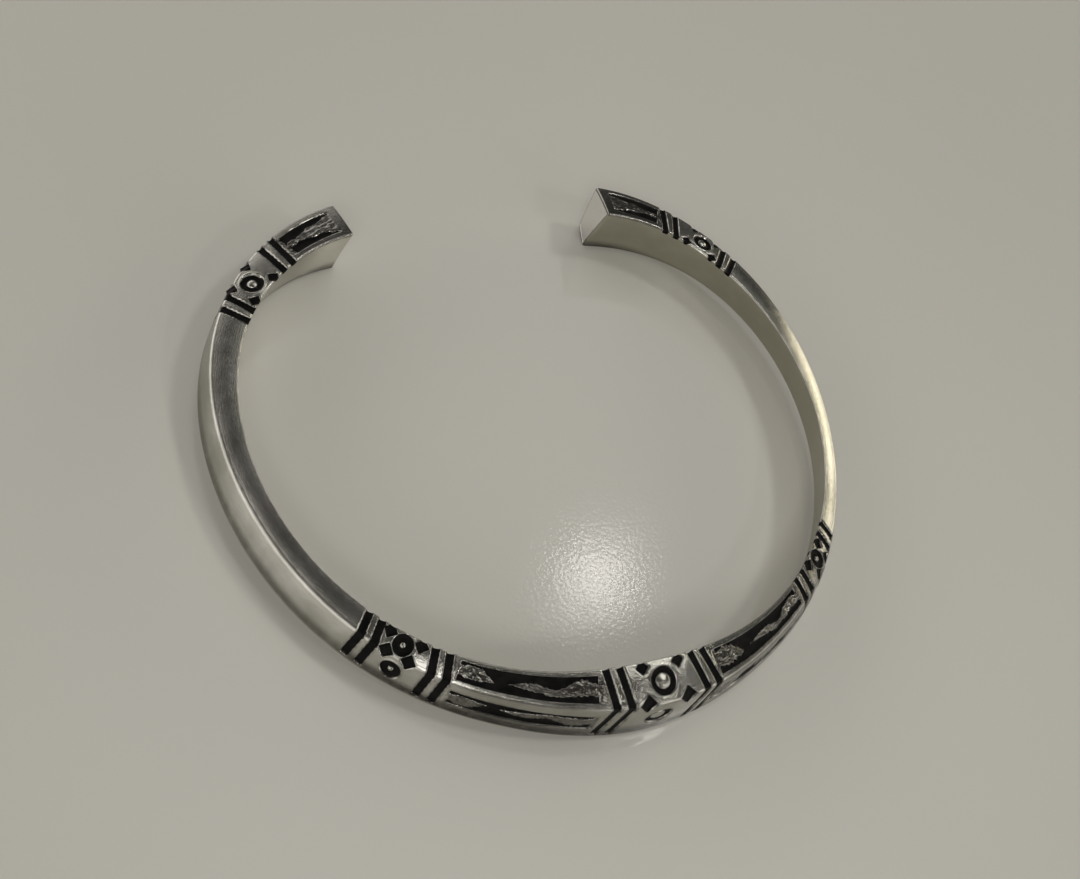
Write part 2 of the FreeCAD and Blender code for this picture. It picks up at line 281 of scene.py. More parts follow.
def ring_distance(radius, groove):
    return lambda x, y: np.abs(np.hypot(x, y) - radius + groove / 2) - groove / 2


def notch_distance(side):
    return lambda x, y: (np.abs(x) + np.abs(y) - side / math.sqrt(2)) / math.sqrt(2)


def notch_axes(place, spot):
    if spot == UPPER:
        return facet_axes(place, UPPER)
    angle = heading(place)
    along = np.array((math.cos(angle), math.sin(angle), 0.0))
    normal = unit(facet_axes(place, UPPER)[2] + facet_axes(place, LOWER)[2])
    return along, np.cross(normal, along), normal


def groove_arms(place, slant):
    """The four arms of a chevron pair: the axes, the starting point on the edge and the length of each."""
    for side in (-0.5, 0.5):
        at = np.float64(place + side * SPACING)
        for facet in (UPPER, LOWER):
            edge = facet_edge(at, facet)
            length = float(np.linalg.norm(ridge(at + slant) - edge))
            yield facet, facet_axes(at, facet, at + slant), edge, length


def ring_spots(place):
    for facet, share in RING_SHARES.items():
        at = np.float64(place)
        edge = facet_edge(at, facet)
        yield facet_axes(at, facet), edge + (ridge(at) - edge) * share


def notch_spots(kind, place, slant):
    """The axes, the surface point, the side and the depth of each notch of a ring motif."""
    radius, _, ridge_side, ridge_gap = RINGS[kind]
    for side in (-1, 1):
        at = np.float64(place + side * (radius + NOTCH_GAP))
        axes = notch_axes(at, UPPER)
        yield axes, facet_edge(at, UPPER) + axes[1] * (NOTCH / 2 + NOTCH_BORDER), NOTCH, DEPTH
        at = np.float64(place + side * (radius + ridge_gap) + slant)
        yield notch_axes(at, "ridge"), ridge(at), ridge_side, RIDGE_NOTCH_DEPTH * ridge_side


def cutters():
    """Every straight cutter: its place, its axes, a point of its floor, and its signed distance."""
    made = []
    for _, place, slant in CHEVRONS:
        for facet, axes, edge, length in groove_arms(place, slant):
            made.append((place, axes, edge - axes[2] * DEPTH, groove_distance(length, facet)))
    for _, kind, place, slant in MOTIFS:
        radius, groove = RINGS[kind][:2]
        for axes, point in ring_spots(place):
            made.append((place, axes, point - axes[2] * DEPTH, ring_distance(radius, groove)))
        for axes, point, side, depth in notch_spots(kind, place, slant):
            made.append((place, axes, point - axes[2] * depth, notch_distance(side)))
    return made


# ---------------------------------------------------------------- the band


def column_places():
    """Places of the band's columns, close together where it is engraved and at its rounded tips."""
    fine, coarse, tip = 0.085, 0.4, 0.04
    zones = ((0.0, 27.4, fine), (27.4, 54.6, coarse), (54.6, 71.7, fine), (71.7, ARM, tip))
    half = [np.linspace(a, b, max(1, round((b - a) / step)), endpoint=False) for a, b, step in zones]
    half = np.concatenate(half + [[ARM]])
    return np.concatenate((-half[:0:-1], half))


def profile_rows(place):
    """The rounded section's points as (out, up), column by column, and the name of each row's facet.

    Its corners are a, inner bottom; b, inner top; c, the ridge; and e, the foot's edge."""
    corners = dict(zip("abce", section_corners(place)))
    worn = fade(np.abs(place), 50.0, 56.0)[:, None]
    setback = {"a": 0.25, "b": 0.26 + 0.12 * worn, "c": 0.3, "e": 0.42}
    order = "abcea"
    ends = {}
    for index in range(4):
        first, second = order[index], order[index + 1]
        direction = unit(corners[second] - corners[first])
        ends[first + second] = (
            corners[first] + direction * setback[first],
            corners[second] - direction * setback[second],
        )
    rows, facets = [], []

    def run(edge, shares, facet, crown):
        start, end = ends[edge]
        direction = unit(end - start)
        normal = np.stack((-direction[:, 1], direction[:, 0]), -1)
        for share in shares:
            rows.append(start + (end - start) * share + normal * crown * 4 * share * (1 - share))
            facets.append(facet)

    def turn(corner, before, after, count):
        start, end = ends[before][1], ends[after][0]
        for t in (np.arange(count) + 1) / (count + 1):
            rows.append((1 - t) ** 2 * start + 2 * t * (1 - t) * corners[corner] + t**2 * end)
            facets.append("ridge" if corner == "c" else "edge")

    inner = np.concatenate((np.linspace(0, 0.88, 10), np.linspace(0.9, 1, 7)))
    run("ab", inner, "inner", -0.06)
    turn("b", "ab", "bc", 6)
    run("bc", np.linspace(0, 1, 46), UPPER, 0.07)
    turn("c", "bc", "ce", 10)
    run("ce", np.linspace(0, 1, 56), LOWER, 0.05)
    turn("e", "ce", "ea", 6)
    run("ea", np.linspace(0, 1, 6), "foot", 0.0)
    turn("a", "ea", "ab", 4)
    return np.stack(rows, 1), np.array(facets)


def profile_normals(points):
    """Outward normals of the closed section, in (out, up)."""
    tangent = np.roll(points, -1, 1) - np.roll(points, 1, 1)
    return unit(np.stack((-tangent[..., 1], tangent[..., 0]), -1))


def beyond_inner(place, points, across):
    """How far each point must slide across its facet to come back to the band's inner face."""
    out_axis, _ = section_axes(place)
    base = section_point(place, np.zeros_like(place), np.zeros_like(place))
    out = np.einsum("crk,ck->cr", points - base[:, None], out_axis)
    return np.where(out < -1e-6, -out, 0.0) / np.maximum(out_axis @ across, 0.2)[:, None]


def soft_mask(distance):
    """One inside a recess and zero outside it, with a smooth wall between."""
    mask = np.clip(0.5 - distance / WALL, 0, 1)
    return mask * mask * (3 - 2 * mask)


def engrave_straight(place, points, cut, distance):
    """Cuts the chevrons, rings and notches into cut, and lowers distance to match."""
    for middle, (along, across, normal), floor, signed in cutters():
        near = np.flatnonzero(np.abs(place - middle) < 6.0)
        window = slice(near[0], near[-1] + 1)
        offset = points[window] - floor
        d = signed(offset @ along, offset @ across)
        above = (cut[window] - floor) @ normal
        reaches = (offset @ normal > -0.02) & (offset @ normal < 2.2)
        mask = np.where(reaches, soft_mask(d), 0.0)
        cut[window] -= normal * (np.maximum(above, 0) * mask)[..., None]
        cut[window] += across * beyond_inner(place[window], cut[window], across)[..., None]
        distance[window] = np.where(reaches, np.minimum(distance[window], d), distance[window])


def engrave_panel(panel, facet, place, points, facets, cut, distance, leaves):
    """Cuts a panel's black ground on both arms, presses veins into its leaves, and marks them in leaves."""
    start, end = PANELS[panel]
    low, high = PANEL_BORDERS[facet]
    cols = np.flatnonzero((np.abs(place) > start - 0.4) & (np.abs(place) < end + 0.4))
    grid = np.ix_(cols, np.flatnonzero(facets == facet))
    at = place[cols]
    _, across, normal = facet_axes(at, facet)
    height = facet_height(at, facet)
    offset = points[grid] - facet_edge(at, facet)[:, None]
    share = np.einsum("crk,ck->cr", offset, across) / height[:, None]
    d = panel_distance(panel, at[:, None], share, height[:, None], facet)
    above = DEPTH + np.einsum("crk,ck->cr", offset, normal)
    cut[grid] -= normal[:, None] * (above * soft_mask(d))[..., None]
    leaf = (d > 0) & (share > low) & (share < high) & (np.abs(at)[:, None] < end)
    inside = np.where(leaf, np.clip(d / 0.1, 0, 1), 0)
    up = share * height[:, None]
    veins = noise(at[:, None] * 2.6 + up * 1.7, up * 5.0 - at[:, None] * 1.2, 11)
    pits = noise(at[:, None] * 7.0, up * 7.0, 12)
    pressed = (0.04 + 0.09 * veins**2 + 0.03 * pits) * inside
    cut[grid] -= normal[:, None] * pressed[..., None]
    distance[grid] = np.minimum(distance[grid], d)
    leaves[grid] = inside


def engrave(place, points, facets):
    """Cuts every recess. Returns the cut points, the signed distance to black, and where leaves are."""
    cut = points.copy()
    distance = np.full(points.shape[:2], 1.0)
    leaves = np.zeros(points.shape[:2])
    engrave_straight(place, points, cut, distance)
    for panel in PANELS:
        for facet in (UPPER, LOWER):
            engrave_panel(panel, facet, place, points, facets, cut, distance, leaves)
    return cut, distance, leaves


def shape_rings(place, points, cut):
    """Shapes cut with a low dome inside each ring, and a fine raised rim around it."""
    for _, kind, middle, _ in MOTIFS:
        radius, groove = RINGS[kind][:2]
        window = np.abs(place - middle) < 3.5
        for (along, across, normal), centre in ring_spots(middle):
            offset = points[window] - centre
            lift = offset @ normal
            r = np.hypot(offset @ along, offset @ across)
            inside = np.clip(r / (radius - groove), 0, 1)
            change = np.where(r < radius - groove + LAP, -DOME_FALL * inside**2, 0.0)
            change = change + RIM_HEIGHT * np.exp(-(((r - radius - RIM_GAP) / RIM_WIDTH) ** 2))
            cut[window] += normal * np.where(np.abs(lift) < 0.25, change, 0)[..., None]


def add_mesh(name, vertices, faces, attributes):
    """A smooth object in metres from vertices in millimetres, with its point attributes."""
    mesh = bpy.data.meshes.new(name)
    mesh.from_pydata(vertices * MM, [], faces)
    for key, values in attributes.items():
        values = np.asarray(values, np.float32)
        if values.ndim == 1:
            mesh.attributes.new(key, "FLOAT", "POINT").data.foreach_set("value", values)
        else:
            mesh.attributes.new(key, "FLOAT_VECTOR", "POINT").data.foreach_set("vector", values.ravel())
    mesh.polygons.foreach_set("use_smooth", np.ones(len(faces), bool))
    mesh.update()
    piece = bpy.data.objects.new(name, mesh)
    bpy.context.scene.collection.objects.link(piece)
    return piece


def tube_faces(columns, rows):
    """Quads of a grid of columns by rows whose last row joins its first, numbered column by column."""
    ids = np.arange(columns * rows).reshape(columns, rows)
    after = np.roll(ids, -1, 1)
    return np.stack((ids[1:], after[1:], after[:-1], ids[:-1]), -1).reshape(-1, 4).tolist()


def tip_inset(place):
    """How far the section draws in, to round the band's edges at its flat tips."""
    round_off = 0.22
    u = np.clip((np.abs(place) - (ARM - round_off)) / round_off, 0, 1)
    return round_off * (1 - np.sqrt(1 - 0.96 * u**2))


def dirt_and_painted_shade(place, facets, height, leaves):
    """Darkening that the silver mixes in: painted shade reflected low on the lower facet, a painted contact
    shadow with some dirt near the table, tarnish in the leaves, and darker metal on the tips and the
    engraved front.
    """
    lanes = np.cumsum(facets == LOWER) / np.count_nonzero(facets == LOWER)
    lanes = np.where(facets == LOWER, lanes, np.where(facets == "foot", 1.0, 0.0))
    reach = np.abs(place)
    front = fade(reach, 27.0, 21.0)
    right_front = fade(place, 5.0, 7.0) * front
    # The lower facet darkens towards its foot: a painted reflection of the shade on the table beside it.
    band = 0.25 * lanes + 0.75 * fade(lanes, 0.6, 0.84)
    strength = 0.35 + 0.35 * fade(reach, 60.0, 40.0) + 0.3 * front
    painted_low_reflection = strength[:, None] * band[None, :]
    # Darker where the band comes near the table, reaching highest on the inner face: a painted contact
    # shadow, with some dirt in it.
    contact_width = np.where(facets == "inner", 1.1, 0.4)
    contact_shade_and_dirt = 0.95 * fade(height, 1.25 * contact_width, 0.25 * contact_width)
    tips = 0.6 * fade(reach, 64.0, 67.0)
    outside = (tips + 0.22 * front + 0.4 * right_front)[:, None] * (facets != "inner")[None, :]
    return np.maximum(np.maximum(painted_low_reflection, contact_shade_and_dirt), np.maximum(0.72 * leaves, outside))


def end_cap(rim, first_rim, first_new, flip):
    """Closes a tip with rings that shrink to the rim's centre. Returns the new vertices and the faces."""
    rings = 8
    rows = len(rim)
    centre = rim.mean(0)
    previous = np.arange(rows) + first_rim
    count = first_new
    vertices, faces = [], []
    for ring in range(1, rings):
        ids = np.arange(rows) + count
        vertices.append(centre + (rim - centre) * (1 - (ring / rings) ** 1.2))
        count += rows
        quads = np.stack((previous, np.roll(previous, -1), np.roll(ids, -1), ids), -1)
        faces += (quads[:, [0, 3, 2, 1]] if flip else quads).tolist()
        previous = ids
    vertices.append(centre[None])
    last = np.full(rows, count)
    following = np.roll(previous, -1)
    faces += np.stack((following, previous, last) if flip else (previous, following, last), -1).tolist()
    return np.concatenate(vertices), faces


def cap_spots(cap, tip):
    """The bar_place of an end face: its own height and depth, moved to END_SPOT."""
    outward = (cap - cap[-1]) @ section_axes(tip)[0]
    return np.stack((cap[:, 2] * 3, outward, np.zeros(len(cap))), -1) + END_SPOT


def build_band():
    """The fine band, engraved, with the attributes that its material reads."""
    place = column_places()
    pairs, facets = profile_rows(place)
    pairs = pairs - profile_normals(pairs) * tip_inset(place)[:, None, None]
    columns, rows = pairs.shape[:2]
    along = np.repeat(place[:, None], rows, 1)
    points = section_point(along, pairs[..., 0], pairs[..., 1])
    cut, distance, leaves = engrave(place, points, facets)
    shape_rings(place, points, cut)
    cut[..., 2] = np.maximum(cut[..., 2], 0.0)
    lengths = np.linalg.norm(np.diff(pairs, axis=1), axis=-1)
    girth = np.concatenate((np.zeros((columns, 1)), np.cumsum(lengths, 1)), 1)
    vertices = cut.reshape(-1, 3)
    spots = np.stack((along, girth, np.zeros_like(girth)), -1).reshape(-1, 3)
    faces = tube_faces(columns, rows)
    for column, flip in ((0, True), (columns - 1, False)):
        cap, cap_faces = end_cap(cut[column], column * rows, len(vertices), flip)
        vertices = np.concatenate((vertices, cap))
        spots = np.concatenate((spots, cap_spots(cap, place[column])))
        faces += cap_faces
    side = columns * rows
    black = np.full(len(vertices), 1.0)
    inner, dirt_and_shade = np.zeros(len(vertices)), np.zeros(len(vertices))
    black[:side] = distance.ravel()
    inner[:side] = np.tile((facets == "inner").astype(float), columns)
    dirt_and_shade[:side] = dirt_and_painted_shade(place, facets, cut[..., 2], leaves).ravel()
    attributes = {"bar_place": spots, "to_black": black, "inner": inner, "dirt_and_shade": dirt_and_shade}
    return add_mesh("cuff_band_fine", vertices, faces, attributes)


# ---------------------------------------------------------------- the enamel


def solid_patch(top, bottom, close_columns=False):
    """A closed solid between two grids of points, as vertices and faces."""
    columns, rows = top.shape[:2]
    vertices = np.concatenate((top.reshape(-1, 3), bottom.reshape(-1, 3)))
    ids = np.arange(columns * rows).reshape(columns, rows)
    if close_columns:
        ids = np.concatenate((ids, ids[:1]))
    low = ids + columns * rows
    quads = [
        (ids[:-1, :-1], ids[1:, :-1], ids[1:, 1:], ids[:-1, 1:]),
        (low[:-1, :-1], low[:-1, 1:], low[1:, 1:], low[1:, :-1]),
        (ids[:-1, 0], low[:-1, 0], low[1:, 0], ids[1:, 0]),
        (ids[:-1, -1], ids[1:, -1], low[1:, -1], low[:-1, -1]),
    ]
    if not close_columns:
        quads.append((ids[0, :-1], ids[0, 1:], low[0, 1:], low[0, :-1]))
        quads.append((ids[-1, :-1], low[-1, :-1], low[-1, 1:], ids[-1, 1:]))
    faces = np.concatenate([np.stack(q, -1).reshape(-1, 4) for q in quads])
    return vertices, faces


def enamel_lift(distance):
    """The enamel's height above the recess floor: level, and drawn up a little beside the walls."""
    return ENAMEL + 0.09 * np.exp(np.minimum(distance, 0) / 0.06)


def flat_patch(axes, floor, x, y, distance, close_columns=False):
    """An enamel patch over a flat recess floor, at grids of local x and y."""
    along, across, normal = axes
    base = floor + along * x[..., None] + across * y[..., None]
    top = base + normal * enamel_lift(distance)[..., None]
    return solid_patch(top, base + normal * ENAMEL_BASE, close_columns)


def open_start(place, axes, level):
    """How far from the upper edge the enamel starts at a height above its floor, inside the inner face."""
    _, up = section_axes(place)
    angle = math.acos(float(np.clip(-up @ axes[1], -1, 1)))
    return np.maximum(DEPTH - level, 0) / math.tan(angle) + 0.1


def groove_patch(place, facet, axes, edge, length, meeting):
    """Enamel in one arm of a chevron, mitred where the two arms meet under the ridge."""
    x = np.linspace(-GROOVE / 2 - LAP, GROOVE / 2 + LAP, 9)[None, :]
    floor = edge - axes[2] * DEPTH
    lift = enamel_lift(np.abs(x) - GROOVE / 2)
    grids = []
    for level in (lift, np.full_like(lift, ENAMEL_BASE)):
        first = open_start(place, axes, level) if facet == UPPER else 2 * OVERCUT + LAP
        last = length + (level - DEPTH) / math.tan(meeting / 2)
        y = first + (last - first) * np.linspace(0, 1, 30)[:, None]
        local = np.broadcast_to(x, y.shape)
        height = np.broadcast_to(level, y.shape)
        flat = floor + local[..., None] * axes[0] + y[..., None] * axes[1]
        grids.append(flat + height[..., None] * axes[2])
    return solid_patch(*grids)


def ring_patch(axes, point, radius, groove):
    """Enamel in one ring's groove."""
    turn = np.linspace(0, 2 * np.pi, 72, endpoint=False)[:, None]
    r = np.linspace(radius - groove - LAP, radius + LAP, 9)[None, :]
    distance = np.abs(r - radius + groove / 2) - groove / 2 + 0 * turn
    x, y = -r * np.cos(turn), r * np.sin(turn)
    return flat_patch(axes, point - axes[2] * DEPTH, x, y, distance, close_columns=True)


def notch_patch(place, axes, point, side, depth):
    """Enamel in a diamond notch; beside the upper edge it stops at the inner face."""
    half = side / 2 + LAP
    u, v = np.meshgrid(np.linspace(-half, half, 11), np.linspace(-half, half, 11), indexing="ij")
    x, y = (u - v) / math.sqrt(2), (u + v) / math.sqrt(2)
    distance = notch_distance(side)(x, y)
    along, across, normal = axes
    grids = []
    for level in (enamel_lift(distance), np.full_like(distance, ENAMEL_BASE)):
        at = y
        if depth == DEPTH:
            at = np.maximum(y, open_start(place, axes, level) - NOTCH / 2 - NOTCH_BORDER)
        base = point - normal * depth
        grids.append(base + along * x[..., None] + across * at[..., None] + normal * level[..., None])
    return solid_patch(*grids)


def panel_patches(panel, side, facet):
    """The black ground above and below the vine, which meets in the vine's break."""
    start, end = PANELS[panel]
    low, high = PANEL_BORDERS[facet]
    at = side * np.linspace(start - LAP, end + LAP, 260 if panel == "long" else 140)
    middle, half = vine(panel, at)
    height = facet_height(at, facet)
    margin = MARGIN / height
    half = np.maximum(half, 0)
    edges = (
        (low - margin, low + (high - low) * (middle - half) + margin),
        (low + (high - low) * (middle + half) - margin, high + margin),
    )
    _, across, normal = facet_axes(at, facet)
    for first, second in edges:
        share = first[:, None] + (second - first)[:, None] * np.linspace(0, 1, 12)[None, :]
        base = facet_edge(at, facet)[:, None] + across[:, None] * (share * height[:, None])[..., None]
        base = base - normal[:, None] * DEPTH
        distance = panel_distance(panel, at[:, None], share, height[:, None], facet)
        top = base + normal[:, None] * enamel_lift(distance)[..., None]
        yield solid_patch(top, base + normal[:, None] * ENAMEL_BASE)


def add_enamel(node, patches):
    """One enamel piece from its closed patches, standing for the CAD node of that name."""
    vertices, faces, count = [], [], 0
    for points, quads in patches:
        vertices.append(points)
        faces += (quads + count).tolist()
        count += len(points)
    piece = add_mesh(node + "_fine", np.concatenate(vertices), faces, {})
    piece.data.validate()
    tidy_normals(piece.data)
    piece.data.materials.append(enamel_material)
    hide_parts(node)
    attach(piece, "root")


def tidy_normals(mesh):
    """Turns every face outwards and keeps the edges between top and walls crisp."""
    work = bmesh.new()
    work.from_mesh(mesh)
    bmesh.ops.recalc_face_normals(work, faces=work.faces)
    work.to_mesh(mesh)
    work.free()
    mesh.set_sharp_from_angle(angle=math.radians(50))


# ---------------------------------------------------------------- materials


class Graph:
    """A short way to write a material's nodes. An input is given by its name, or as i and its number."""

    def __init__(self, name):
        self.material = bpy.data.materials.new(name)
        self.material.use_nodes = True
        self.tree = self.material.node_tree
        self.tree.nodes.clear()
        self.output = self.tree.nodes.new("ShaderNodeOutputMaterial")

    def add(self, kind, settings=None, **inputs):
        node = self.tree.nodes.new(kind)
        for key, value in (settings or {}).items():
            setattr(node, key, value)
        for key, value in inputs.items():
            numbered = key[0] == "i" and key[1:].isdigit()
            self.put(node.inputs[int(key[1:]) if numbered else key.replace("_", " ")], value)
        return node

    def put(self, socket, value):
        if isinstance(value, bpy.types.NodeSocket):
            self.tree.links.new(value, socket)
        else:
            socket.default_value = value

    def math(self, operation, a, b, c=0.0):
        return self.add("ShaderNodeMath", {"operation": operation}, i0=a, i1=b, i2=c).outputs[0]

    def ramp(self, value, low, high, low_to=0.0, high_to=1.0):
        """A smooth step of value from low to high."""
        settings = {"interpolation_type": "SMOOTHSTEP"}
        node = self.add("ShaderNodeMapRange", settings, i0=value, i1=low, i2=high, i3=low_to, i4=high_to)
        return node.outputs[0]

    def mix(self, factor, first, second):
        node = self.add("ShaderNodeMix", {"data_type": "RGBA"}, i0=factor, i6=first, i7=second)
        return node.outputs[2]

    def attribute(self, name, output):
        return self.add("ShaderNodeAttribute", {"attribute_name": name}).outputs[output]

    def noise(self, vector, scale, detail, roughness):
        """Noise on a vector that is first scaled, by one number or by one for each axis."""
        scales = scale if isinstance(scale, tuple) else (scale, scale, scale)
        scaled = self.add("ShaderNodeVectorMath", {"operation": "MULTIPLY"}, i0=vector, i1=scales).outputs[0]
        values = {"Vector": scaled, "Scale": 1.0, "Detail": detail, "Roughness": roughness}
        return self.add("ShaderNodeTexNoise", None, **values).outputs[0]

    def surface(self, **inputs):
        """Ends the material with a principled shader."""
        shader = self.add("ShaderNodeBsdfPrincipled", None, **inputs)
        self.put(self.output.inputs[0], shader.outputs[0])


def grey(value, warm=0.0):
    """A grey, a little redder and less blue where it is warm."""
    return (value * (1 + warm), value, value * (1 - warm), 1.0)


def make_silver():
    """Worn silver: brushed along the bar, tarnished beside the engraving, and black in its recesses. A khaki
    reflection of the table on the inner face, a highlight on the end faces, and shade near the table and low
    on the lower facet are painted into its colour.
    """
    g = Graph("worn_silver")
    place = g.attribute("bar_place", "Vector")
    to_black, inner, dirt_and_shade = (g.attribute(name, "Fac") for name in ("to_black", "inner", "dirt_and_shade"))
    along = g.add("ShaderNodeSeparateXYZ", None, Vector=place).outputs[0]
    body = g.add("ShaderNodeTexCoord").outputs["Object"]
    grain = g.noise(place, (0.9, 14.0, 1.0), 4.0, 0.6)
    fine_grain = g.noise(place, (3.0, 46.0, 1.0), 3.0, 0.6)
    dents = g.noise(body, 700.0, 2.0, 0.5)
    patches = g.noise(body, 190.0, 3.0, 0.55)
    speck = g.noise(body, 3300.0, 2.0, 0.6)
    mottle = g.noise(body, 1500.0, 4.0, 0.6)
    ragged = g.math("MULTIPLY_ADD", speck, 0.07, -0.035)
    edge = g.math("ADD", to_black, ragged)
    metal = g.ramp(edge, -0.05, 0.02)
    near = g.ramp(edge, 0.0, 0.32, 1.0, 0.0)
    tarnish = g.math("MULTIPLY", near, g.ramp(mottle, 0.36, 0.66))
    silver = g.mix(g.ramp(patches, 0.32, 0.68), (0.45, 0.445, 0.395, 1.0), (0.63, 0.62, 0.575, 1.0))
    silver = g.mix(g.math("MULTIPLY", g.ramp(grain, 0.42, 0.66), 0.35), silver, (0.35, 0.345, 0.30, 1.0))
    # The inner face is tinted khaki: a painted reflection of the table that it faces.
    silver = g.mix(g.math("MULTIPLY", inner, 0.6), silver, (0.50, 0.48, 0.375, 1.0))
    # The end faces are made near-white silver: a painted highlight for the light that they catch.
    silver = g.mix(g.ramp(along, 100.0, 150.0), silver, grey(0.90, 0.02))
    silver = g.mix(g.math("MULTIPLY", tarnish, 0.85), silver, grey(0.08, 0.08))
    # Mottled darkening from the band's darkening attribute: dirt and tarnish, with painted shade near the
    # table and a painted dark reflection low on the lower facet.
    silver = g.mix(g.math("MULTIPLY", dirt_and_shade, g.ramp(mottle, 0.2, 0.6, 0.75, 1.0)), silver, grey(0.05, 0.1))
    colour = g.mix(metal, grey(0.006, 0.02), silver)
    roughness = g.math("MULTIPLY_ADD", grain, 0.1, 0.07)
    roughness = g.math("MULTIPLY_ADD", g.ramp(patches, 0.35, 0.7), 0.05, roughness)
    roughness = g.math("MULTIPLY_ADD", tarnish, 0.12, roughness)
    height = g.math("MULTIPLY_ADD", fine_grain, 0.35, grain)
    height = g.math("MULTIPLY_ADD", dents, 1.1, height)
    bump = g.add("ShaderNodeBump", None, Strength=0.28, Distance=0.00006, Height=height).outputs[0]
    metallic = g.math("MULTIPLY_ADD", metal, 0.96, 0.04)
    g.surface(Base_Color=colour, Metallic=metallic, Roughness=roughness, Normal=bump)
    return g.material


def make_enamel():
    """Black enamel settled in the engraving: deep and glossy in places, matt and dusty in others."""
    g = Graph("settled_enamel")
    body = g.add("ShaderNodeTexCoord").outputs["Object"]
    coarse = g.noise(body, 900.0, 3.0, 0.55)
    speck = g.noise(body, 4200.0, 3.0, 0.65)
    colour = g.mix(g.ramp(coarse, 0.35, 0.7), grey(0.003), grey(0.009, 0.06))
    colour = g.mix(g.ramp(speck, 0.7, 0.82), colour, grey(0.035, 0.1))
    roughness = g.math("MULTIPLY_ADD", coarse, 0.35, 0.3)
    height = g.math("MULTIPLY_ADD", speck, 0.4, coarse)
    bump = g.add("ShaderNodeBump", None, Strength=0.5, Distance=0.00005, Height=height).outputs[0]
    g.surface(Base_Color=colour, Roughness=roughness, Normal=bump, Specular_IOR_Level=0.08)
    return g.material


def make_table():
    """A pale grey laminate top with a soft sheen and a very fine grain."""
    g = Graph("pale_laminate")
    body = g.add("ShaderNodeTexCoord").outputs["Object"]
    clouds = g.noise(body, 9.0, 3.0, 0.5)
    grain = g.noise(body, 2600.0, 2.0, 0.5)
    colour = g.mix(g.ramp(clouds, 0.3, 0.7), (0.70, 0.69, 0.635, 1.0), (0.725, 0.715, 0.66, 1.0))
    roughness = g.math("MULTIPLY_ADD", grain, 0.06, 0.06)
    bump = g.add("ShaderNodeBump", None, Strength=0.13, Distance=0.00006, Height=grain).outputs[0]
    g.surface(Base_Color=colour, Roughness=roughness, Normal=bump)
    return g.material


# ---------------------------------------------------------------- building

silver_material = make_silver()
enamel_material = make_enamel()

band = build_band()
band.data.materials.append(silver_material)
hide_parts("cuff_band")
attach(band, "root")

for name, place, slant in CHEVRONS:
    arms = []
    for facet, axes, edge, length in groove_arms(place, slant):
        other = facet_axes(np.float64(place), LOWER if facet == UPPER else UPPER)[2]
        meeting = math.pi - math.acos(float(np.clip(axes[2] @ other, -1, 1)))
        arms.append(groove_patch(np.float64(place), facet, axes, edge, length, meeting))
    add_enamel("chevron_enamel_" + name, arms)

for name, kind, place, slant in MOTIFS:
    fills = [ring_patch(axes, point, *RINGS[kind][:2]) for axes, point in ring_spots(place)]
    fills += [notch_patch(np.float64(place), *spot) for spot in notch_spots(kind, place, slant)]
    add_enamel("ring_enamel_" + name, fills)

for panel, prefix in (("long", "vine_panel_enamel"), ("end", "end_panel_enamel")):
    for word, side in SIDES.items():
        for facet in (UPPER, LOWER):
            add_enamel(f"{prefix}_{word}_{facet}", panel_patches(panel, side, facet))


# ---------------------------------------------------------------- table, light and camera

# Directions are in degrees: an azimuth from +Y towards +X, and an elevation.
# The room's tone by height, from the sine of the elevation.
WALL_TONES = ((0.0, 1.3), (0.3, 1.3), (0.5, 0.5), (0.66, 0.11), (1.0, 0.09))
# Patches of the room: azimuth, elevation, the angles where each is full and gone, and its colour.
ROOM_PATCHES = (
    (60.0, 38.0, 38.0, 54.0, (0.07, 0.07, 0.066)),
    (-165.0, 18.0, 14.0, 30.0, (0.16, 0.155, 0.145)),
    (55.0, 62.0, 6.0, 28.0, (0.9, 0.88, 0.83)),
    (73.0, 9.0, 7.0, 13.0, (2.9, 2.65, 2.1)),
    (90.0, 15.0, 5.0, 11.0, (2.6, 2.4, 1.9)),
)
# Lights: name, azimuth, elevation, the angle that it fills, radiance and colour.
LIGHTS = (
    ("key", 98.0, 61.0, 8.0, 20.0, (1.0, 0.98, 0.94)),
    ("fill", -145.0, 44.0, 16.0, 6.0, (1.0, 0.98, 0.94)),
    ("glint", 150.0, 44.0, 4.0, 34.0, (1.0, 0.98, 0.95)),
    ("spot", 55.0, 57.0, 3.0, 12.0, (1.0, 0.97, 0.92)),
)
# The camera: the azimuth it looks along, its dip and its roll; its place and its lens.
CAMERA_TURN = (45.3, 53.4, 30.5)
CAMERA_PLACE = (-56.6, -54.4, 108.55)
CAMERA_LENS = 47.3


def add_table():
    """A wide flat table top under the bangle."""
    half = 2.5
    corners = [(-half, -half, 0), (half, -half, 0), (half, half, 0), (-half, half, 0)]
    mesh = bpy.data.meshes.new("table")
    mesh.from_pydata(corners, [], [(0, 1, 2, 3)])
    mesh.materials.append(make_table())
    table = bpy.data.objects.new("table", mesh)
    bpy.context.scene.collection.objects.link(table)


def from_compass(azimuth, elevation):
    """The unit vector towards an azimuth and an elevation."""
    a, e = math.radians(azimuth), math.radians(elevation)
    return np.array((math.sin(a) * math.cos(e), math.cos(a) * math.cos(e), math.sin(e)))


def add_soft_light(name, azimuth, elevation, across, radiance, colour):
    """A round soft light that looks at the origin, from where it fills the angle across."""
    distance = 1.2
    light = bpy.data.lights.new(name, "AREA")
    light.shape = "DISK"
    light.size = 2 * distance * math.tan(math.radians(across / 2))
    light.energy = radiance * math.pi * math.pi * light.size**2 / 4
    light.color = colour
    lamp = bpy.data.objects.new(name, light)
    away = from_compass(azimuth, elevation)
    lamp.location = away * distance
    lamp.rotation_mode = "QUATERNION"
    lamp.rotation_quaternion = Vector(-away).to_track_quat("-Z", "Y")
    bpy.context.scene.collection.objects.link(lamp)


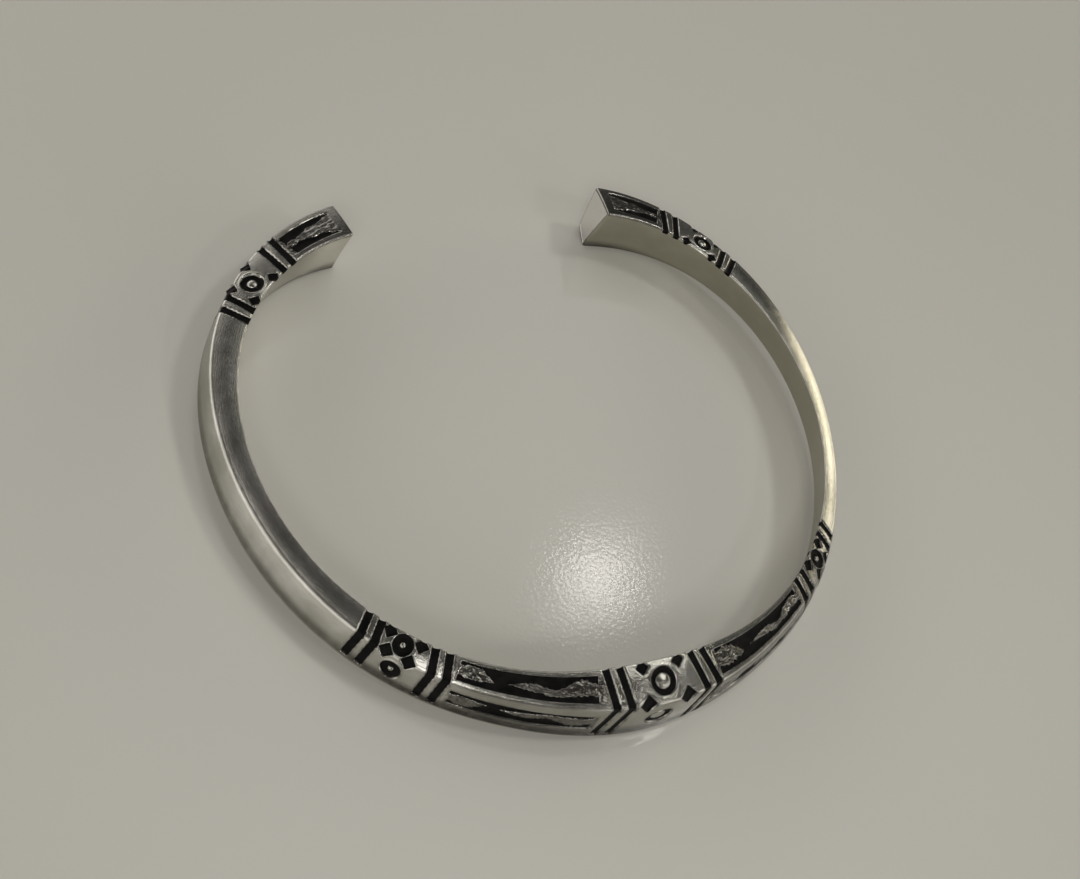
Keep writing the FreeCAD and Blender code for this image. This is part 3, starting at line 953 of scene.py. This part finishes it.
def add_world():
    """A dim ceiling over paler walls, with the room's patches over them."""
    world = bpy.data.worlds.new("studio")
    bpy.context.scene.world = world
    world.use_nodes = True
    tree = world.node_tree
    tree.nodes.clear()

    def add(kind, settings=None):
        node = tree.nodes.new(kind)
        for key, value in (settings or {}).items():
            setattr(node, key, value)
        return node

    position = add("ShaderNodeTexCoord").outputs["Generated"]
    split = add("ShaderNodeSeparateXYZ")
    ramp = add("ShaderNodeValToRGB")
    tree.links.new(position, split.inputs[0])
    tree.links.new(split.outputs[2], ramp.inputs[0])
    elements = ramp.color_ramp.elements
    elements[0].position, elements[1].position = WALL_TONES[0][0], WALL_TONES[-1][0]
    elements[0].color, elements[1].color = grey(WALL_TONES[0][1], 0.04), grey(WALL_TONES[-1][1], 0.04)
    for height, tone in WALL_TONES[1:-1]:
        elements.new(height).color = grey(tone, 0.04)
    colour = ramp.outputs[0]
    for azimuth, elevation, inner, outer, tint in ROOM_PATCHES:
        toward = add("ShaderNodeVectorMath", {"operation": "DOT_PRODUCT"})
        tree.links.new(position, toward.inputs[0])
        toward.inputs[1].default_value = from_compass(azimuth, elevation)
        step = add("ShaderNodeMapRange", {"interpolation_type": "SMOOTHSTEP"})
        tree.links.new(toward.outputs["Value"], step.inputs[0])
        step.inputs[1].default_value = math.cos(math.radians(outer))
        step.inputs[2].default_value = math.cos(math.radians(inner))
        mix = add("ShaderNodeMix", {"data_type": "RGBA"})
        tree.links.new(step.outputs[0], mix.inputs[0])
        tree.links.new(colour, mix.inputs[6])
        mix.inputs[7].default_value = (*tint, 1.0)
        colour = mix.outputs[2]
    background = add("ShaderNodeBackground")
    output = add("ShaderNodeOutputWorld")
    tree.links.new(colour, background.inputs[0])
    tree.links.new(background.outputs[0], output.inputs[0])


def add_camera():
    """The camera looks down along an azimuth and is rolled about its line of sight."""
    azimuth, dip, roll = CAMERA_TURN
    forward = from_compass(azimuth, -dip)
    level_right = from_compass(azimuth + 90.0, 0.0)
    level_down = np.cross(forward, level_right)
    roll = math.radians(roll)
    right = math.cos(roll) * level_right - math.sin(roll) * level_down
    down = math.sin(roll) * level_right + math.cos(roll) * level_down
    camera = bpy.data.objects.new("camera", bpy.data.cameras.new("camera"))
    matrix = Matrix.Identity(4)
    for column, axis in enumerate((right, -down, -forward)):
        for row in range(3):
            matrix[row][column] = axis[row]
    for row, value in enumerate(CAMERA_PLACE):
        matrix[row][3] = value * MM
    camera.matrix_world = matrix
    camera.data.lens = CAMERA_LENS
    camera.data.sensor_width = 36.0
    camera.data.clip_start = 0.005
    bpy.context.scene.collection.objects.link(camera)
    bpy.context.scene.camera = camera


add_table()
add_world()
for light in LIGHTS:
    add_soft_light(*light)
add_camera()
bpy.context.scene.view_settings.view_transform = "Standard"
